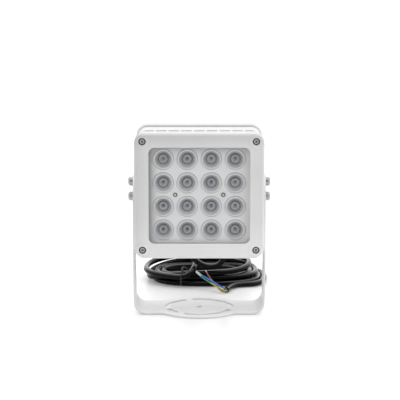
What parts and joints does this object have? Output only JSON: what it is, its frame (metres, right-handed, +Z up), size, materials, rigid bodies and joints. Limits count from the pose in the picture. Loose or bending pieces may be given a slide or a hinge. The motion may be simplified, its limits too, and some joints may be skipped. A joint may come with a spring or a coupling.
{
  "type": "infrared illuminator",
  "caption": "Square infrared flood lamp with a glazed lens array in a cast case, on a tilting U bracket with a slotted round foot and a coiled supply cable",
  "frame": {"origin": "On the axis of the hole in the middle of the bracket's foot, on the face that rests on the mounting surface", "axes": "+Z is up out of the foot, along the bracket's legs; the lamp looks along -Y; +X is on the right of a viewer who faces the window"},
  "size_m": [0.1454, 0.2225, 0.1883],
  "materials": {
    "white_powder_coated_steel": "fine satin powder coat",
    "white_powder_coated_casting": "white satin powder coat on a die casting",
    "stainless_steel": "plain stainless",
    "black_rubber": "matt",
    "window_glass": "clear, toughened",
    "clear_acrylic": "clear, moulded",
    "pale_grey_plate": "satin",
    "white_nylon": "plain",
    "circuit_board": "white solder mask",
    "thermal_silicone": "matt",
    "transformer_tape": "wound tape",
    "capacitor_can": "printed sleeve without lettering",
    "green_terminal_plastic": "plain",
    "black_nylon": "moulded",
    "black_cable_sheath": "smooth with a soft sheen",
    "blue_core_insulation": "smooth, bare tinned end",
    "brown_core_insulation": "smooth, bare tinned end",
    "green_yellow_core_insulation": "smooth, two colours, bare tinned end"
  },
  "bodies": {
    "bracket": {"bracket": "white_powder_coated_steel", "cable_lead": "black_cable_sheath", "cable_coil": "black_cable_sheath", "cable_tail": "black_cable_sheath", "cable_tie": "black_nylon", "core_blue": "blue_core_insulation", "core_brown": "brown_core_insulation", "core_green_yellow": "green_yellow_core_insulation"},
    "head": {"bezel": "white_powder_coated_casting", "housing": "white_powder_coated_casting", "rear_cover": "white_powder_coated_casting", "pivot_screw_left": "stainless_steel", "pivot_screw_right": "stainless_steel", "lock_screw_left": "stainless_steel", "lock_screw_right": "stainless_steel", "flat_washers_left": "stainless_steel", "flat_washers_right": "stainless_steel", "spring_washers_left": "stainless_steel", "spring_washers_right": "stainless_steel", "bezel_screws": "stainless_steel", "rear_cover_screws": "stainless_steel", "plate_screws": "stainless_steel", "driver_screws": "stainless_steel", "window_gasket": "black_rubber", "body_gasket": "black_rubber", "rear_gasket": "black_rubber", "gland_seal": "black_rubber", "window_glass": "window_glass", "lens_01": "clear_acrylic", "lens_02": "clear_acrylic", "lens_03": "clear_acrylic", "lens_04": "clear_acrylic", "lens_05": "clear_acrylic", "lens_06": "clear_acrylic", "lens_07": "clear_acrylic", "lens_08": "clear_acrylic", "lens_09": "clear_acrylic", "lens_10": "clear_acrylic", "lens_11": "clear_acrylic", "lens_12": "clear_acrylic", "lens_13": "clear_acrylic", "lens_14": "clear_acrylic", "lens_15": "clear_acrylic", "lens_16": "clear_acrylic", "lens_plate": "pale_grey_plate", "plate_posts": "white_nylon", "emitter_board": "circuit_board", "driver_board": "circuit_board", "thermal_pad": "thermal_silicone", "transformer": "transformer_tape", "capacitor_1": "capacitor_can", "capacitor_2": "capacitor_can", "terminal_block": "green_terminal_plastic", "gland_body": "black_nylon", "gland_locknut": "black_nylon", "gland_nut": "black_nylon", "cable_inner_end": "black_cable_sheath"}
  },
  "joints": [
    {"name": "head_tilt", "type": "hinge", "parent": "bracket", "child": "head", "pos_m": [0, 0, 0.1171], "axis": [1, 0, 0], "range_deg": [-30, 30], "deforming": ["cable_lead"]}
  ]
}
